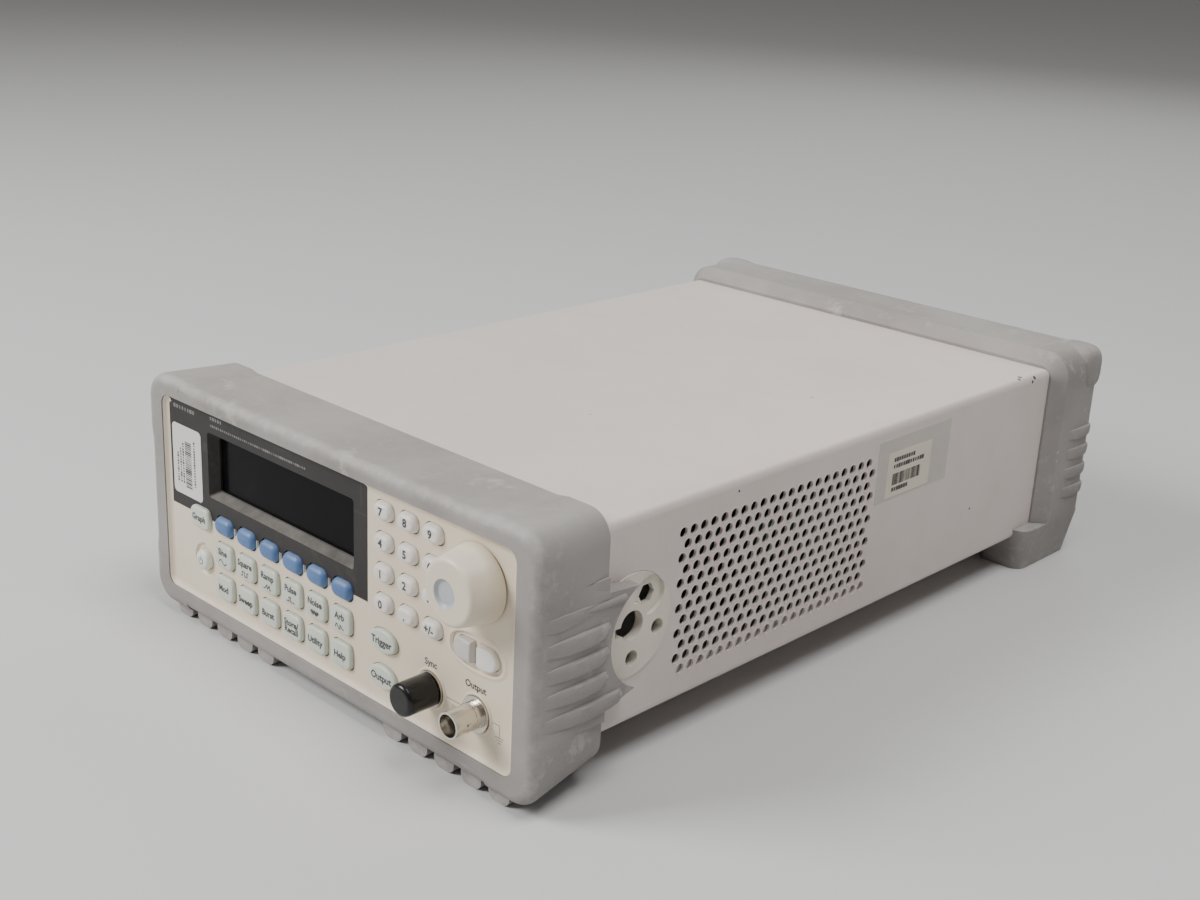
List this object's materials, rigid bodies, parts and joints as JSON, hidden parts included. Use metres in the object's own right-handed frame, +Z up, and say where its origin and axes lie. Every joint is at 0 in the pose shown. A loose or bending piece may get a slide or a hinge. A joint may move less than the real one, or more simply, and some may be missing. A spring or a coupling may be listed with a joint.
{
  "type": "function generator",
  "caption": "Bench function generator in a sheet metal sleeve with rubber bumpers, a dark display, sprung keys, a turning knob and coaxial sockets.",
  "frame": {"origin": "middle of the footprint, on the surface that the feet stand on", "axes": "+Z up, -Y towards the user through the front panel, +X to the user's right"},
  "size_m": [0.229, 0.379, 0.1028],
  "materials": {
    "sleeve_paint": "fine grained powder coat",
    "zinc_steel": "zinc plated",
    "panel_plastic": "satin ivory moulding",
    "mask_plastic": "satin dark grey",
    "window_glass": "dark tinted, glossy",
    "display_glass": "unlit display",
    "mat_rubber": "moulded silicone",
    "board_laminate": "coated laminate",
    "bumper_rubber": "scuffed warm grey rubber",
    "encoder_metal": "machined",
    "nickel": "dull nickel plate",
    "insulator_plastic": "white insulator",
    "rear_paint": "painted steel",
    "black_plastic": "moulded",
    "port_metal": "plated shells",
    "pivot_plastic": "satin cream moulding",
    "screw_steel": "zinc plated",
    "soft_key_plastic": "satin blue",
    "function_key_plastic": "translucent pale green",
    "digit_key_plastic": "satin off white",
    "power_key_plastic": "satin off white",
    "knob_plastic": "satin ivory",
    "cap_vinyl": "glossy black vinyl"
  },
  "bodies": {
    "case": {"cover_sleeve": "sleeve_paint", "chassis_tray": "zinc_steel", "front_panel": "panel_plastic", "display_mask": "mask_plastic", "display_window": "window_glass", "display_module": "display_glass", "keypad_mat": "mat_rubber", "keypad_board": "board_laminate", "front_bumper": "bumper_rubber", "rear_bumper": "bumper_rubber", "encoder": "encoder_metal", "front_jacks": "nickel", "rear_jacks": "nickel", "bnc_insulators": "insulator_plastic", "circuit_boards": "board_laminate", "rear_panel": "rear_paint", "fan_frame": "black_plastic", "power_inlet": "black_plastic", "interface_ports": "port_metal", "handle_pivots": "pivot_plastic", "fasteners": "screw_steel"},
    "soft_key_1_body": {"soft_key_1": "soft_key_plastic"},
    "soft_key_2_body": {"soft_key_2": "soft_key_plastic"},
    "soft_key_3_body": {"soft_key_3": "soft_key_plastic"},
    "soft_key_4_body": {"soft_key_4": "soft_key_plastic"},
    "soft_key_5_body": {"soft_key_5": "soft_key_plastic"},
    "soft_key_6_body": {"soft_key_6": "soft_key_plastic"},
    "sine_key_body": {"sine_key": "function_key_plastic"},
    "square_key_body": {"square_key": "function_key_plastic"},
    "ramp_key_body": {"ramp_key": "function_key_plastic"},
    "pulse_key_body": {"pulse_key": "function_key_plastic"},
    "noise_key_body": {"noise_key": "function_key_plastic"},
    "arbitrary_key_body": {"arbitrary_key": "function_key_plastic"},
    "modulate_key_body": {"modulate_key": "function_key_plastic"},
    "sweep_key_body": {"sweep_key": "function_key_plastic"},
    "burst_key_body": {"burst_key": "function_key_plastic"},
    "store_recall_key_body": {"store_recall_key": "function_key_plastic"},
    "utility_key_body": {"utility_key": "function_key_plastic"},
    "help_key_body": {"help_key": "function_key_plastic"},
    "key_0_body": {"key_0": "digit_key_plastic"},
    "key_1_body": {"key_1": "digit_key_plastic"},
    "key_2_body": {"key_2": "digit_key_plastic"},
    "key_3_body": {"key_3": "digit_key_plastic"},
    "key_4_body": {"key_4": "digit_key_plastic"},
    "key_5_body": {"key_5": "digit_key_plastic"},
    "key_6_body": {"key_6": "digit_key_plastic"},
    "key_7_body": {"key_7": "digit_key_plastic"},
    "key_8_body": {"key_8": "digit_key_plastic"},
    "key_9_body": {"key_9": "digit_key_plastic"},
    "point_key_body": {"point_key": "digit_key_plastic"},
    "sign_key_body": {"sign_key": "digit_key_plastic"},
    "graph_key_body": {"graph_key": "function_key_plastic"},
    "power_key_body": {"power_key": "power_key_plastic"},
    "trigger_key_body": {"trigger_key": "function_key_plastic"},
    "output_key_body": {"output_key": "function_key_plastic"},
    "cursor_left_key_body": {"cursor_left_key": "digit_key_plastic"},
    "cursor_right_key_body": {"cursor_right_key": "digit_key_plastic"},
    "knob_body": {"knob": "knob_plastic"},
    "fan_rotor_body": {"fan_rotor": "black_plastic"},
    "dust_cap_body": {"dust_cap": "cap_vinyl"}
  },
  "joints": [
    {"name": "soft_key_1_press", "type": "slide", "parent": "case", "child": "soft_key_1_body", "axis": [0, 1, 0], "range_m": [0, 0.001], "stiffness_N_per_m": 1500},
    {"name": "soft_key_2_press", "type": "slide", "parent": "case", "child": "soft_key_2_body", "axis": [0, 1, 0], "range_m": [0, 0.001], "stiffness_N_per_m": 1500},
    {"name": "soft_key_3_press", "type": "slide", "parent": "case", "child": "soft_key_3_body", "axis": [0, 1, 0], "range_m": [0, 0.001], "stiffness_N_per_m": 1500},
    {"name": "soft_key_4_press", "type": "slide", "parent": "case", "child": "soft_key_4_body", "axis": [0, 1, 0], "range_m": [0, 0.001], "stiffness_N_per_m": 1500},
    {"name": "soft_key_5_press", "type": "slide", "parent": "case", "child": "soft_key_5_body", "axis": [0, 1, 0], "range_m": [0, 0.001], "stiffness_N_per_m": 1500},
    {"name": "soft_key_6_press", "type": "slide", "parent": "case", "child": "soft_key_6_body", "axis": [0, 1, 0], "range_m": [0, 0.001], "stiffness_N_per_m": 1500},
    {"name": "sine_key_press", "type": "slide", "parent": "case", "child": "sine_key_body", "axis": [0, 1, 0], "range_m": [0, 0.001], "stiffness_N_per_m": 1500},
    {"name": "square_key_press", "type": "slide", "parent": "case", "child": "square_key_body", "axis": [0, 1, 0], "range_m": [0, 0.001], "stiffness_N_per_m": 1500},
    {"name": "ramp_key_press", "type": "slide", "parent": "case", "child": "ramp_key_body", "axis": [0, 1, 0], "range_m": [0, 0.001], "stiffness_N_per_m": 1500},
    {"name": "pulse_key_press", "type": "slide", "parent": "case", "child": "pulse_key_body", "axis": [0, 1, 0], "range_m": [0, 0.001], "stiffness_N_per_m": 1500},
    {"name": "noise_key_press", "type": "slide", "parent": "case", "child": "noise_key_body", "axis": [0, 1, 0], "range_m": [0, 0.001], "stiffness_N_per_m": 1500},
    {"name": "arbitrary_key_press", "type": "slide", "parent": "case", "child": "arbitrary_key_body", "axis": [0, 1, 0], "range_m": [0, 0.001], "stiffness_N_per_m": 1500},
    {"name": "modulate_key_press", "type": "slide", "parent": "case", "child": "modulate_key_body", "axis": [0, 1, 0], "range_m": [0, 0.001], "stiffness_N_per_m": 1500},
    {"name": "sweep_key_press", "type": "slide", "parent": "case", "child": "sweep_key_body", "axis": [0, 1, 0], "range_m": [0, 0.001], "stiffness_N_per_m": 1500},
    {"name": "burst_key_press", "type": "slide", "parent": "case", "child": "burst_key_body", "axis": [0, 1, 0], "range_m": [0, 0.001], "stiffness_N_per_m": 1500},
    {"name": "store_recall_key_press", "type": "slide", "parent": "case", "child": "store_recall_key_body", "axis": [0, 1, 0], "range_m": [0, 0.001], "stiffness_N_per_m": 1500},
    {"name": "utility_key_press", "type": "slide", "parent": "case", "child": "utility_key_body", "axis": [0, 1, 0], "range_m": [0, 0.001], "stiffness_N_per_m": 1500},
    {"name": "help_key_press", "type": "slide", "parent": "case", "child": "help_key_body", "axis": [0, 1, 0], "range_m": [0, 0.001], "stiffness_N_per_m": 1500},
    {"name": "key_0_press", "type": "slide", "parent": "case", "child": "key_0_body", "axis": [0, 1, 0], "range_m": [0, 0.001], "stiffness_N_per_m": 1500},
    {"name": "key_1_press", "type": "slide", "parent": "case", "child": "key_1_body", "axis": [0, 1, 0], "range_m": [0, 0.001], "stiffness_N_per_m": 1500},
    {"name": "key_2_press", "type": "slide", "parent": "case", "child": "key_2_body", "axis": [0, 1, 0], "range_m": [0, 0.001], "stiffness_N_per_m": 1500},
    {"name": "key_3_press", "type": "slide", "parent": "case", "child": "key_3_body", "axis": [0, 1, 0], "range_m": [0, 0.001], "stiffness_N_per_m": 1500},
    {"name": "key_4_press", "type": "slide", "parent": "case", "child": "key_4_body", "axis": [0, 1, 0], "range_m": [0, 0.001], "stiffness_N_per_m": 1500},
    {"name": "key_5_press", "type": "slide", "parent": "case", "child": "key_5_body", "axis": [0, 1, 0], "range_m": [0, 0.001], "stiffness_N_per_m": 1500},
    {"name": "key_6_press", "type": "slide", "parent": "case", "child": "key_6_body", "axis": [0, 1, 0], "range_m": [0, 0.001], "stiffness_N_per_m": 1500},
    {"name": "key_7_press", "type": "slide", "parent": "case", "child": "key_7_body", "axis": [0, 1, 0], "range_m": [0, 0.001], "stiffness_N_per_m": 1500},
    {"name": "key_8_press", "type": "slide", "parent": "case", "child": "key_8_body", "axis": [0, 1, 0], "range_m": [0, 0.001], "stiffness_N_per_m": 1500},
    {"name": "key_9_press", "type": "slide", "parent": "case", "child": "key_9_body", "axis": [0, 1, 0], "range_m": [0, 0.001], "stiffness_N_per_m": 1500},
    {"name": "point_key_press", "type": "slide", "parent": "case", "child": "point_key_body", "axis": [0, 1, 0], "range_m": [0, 0.001], "stiffness_N_per_m": 1500},
    {"name": "sign_key_press", "type": "slide", "parent": "case", "child": "sign_key_body", "axis": [0, 1, 0], "range_m": [0, 0.001], "stiffness_N_per_m": 1500},
    {"name": "graph_key_press", "type": "slide", "parent": "case", "child": "graph_key_body", "axis": [0, 1, 0], "range_m": [0, 0.001], "stiffness_N_per_m": 1500},
    {"name": "power_key_press", "type": "slide", "parent": "case", "child": "power_key_body", "axis": [0, 1, 0], "range_m": [0, 0.001], "stiffness_N_per_m": 1500},
    {"name": "trigger_key_press", "type": "slide", "parent": "case", "child": "trigger_key_body", "axis": [0, 1, 0], "range_m": [0, 0.001], "stiffness_N_per_m": 1500},
    {"name": "output_key_press", "type": "slide", "parent": "case", "child": "output_key_body", "axis": [0, 1, 0], "range_m": [0, 0.001], "stiffness_N_per_m": 1500},
    {"name": "cursor_left_key_press", "type": "slide", "parent": "case", "child": "cursor_left_key_body", "axis": [0, 1, 0], "range_m": [0, 0.001], "stiffness_N_per_m": 1500},
    {"name": "cursor_right_key_press", "type": "slide", "parent": "case", "child": "cursor_right_key_body", "axis": [0, 1, 0], "range_m": [0, 0.001], "stiffness_N_per_m": 1500},
    {"name": "knob_turn", "type": "hinge", "parent": "case", "child": "knob_body", "pos_m": [0.0842, -0.18, 0.0776], "axis": [0, -1, 0], "continuous": true},
    {"name": "fan_spin", "type": "hinge", "parent": "case", "child": "fan_rotor_body", "pos_m": [-0.06, 0.148, 0.0554], "axis": [0, 1, 0], "continuous": true},
    {"name": "dust_cap_pull", "type": "slide", "parent": "case", "child": "dust_cap_body", "axis": [0, -1, 0], "range_m": [0, 0.016]}
  ]
}
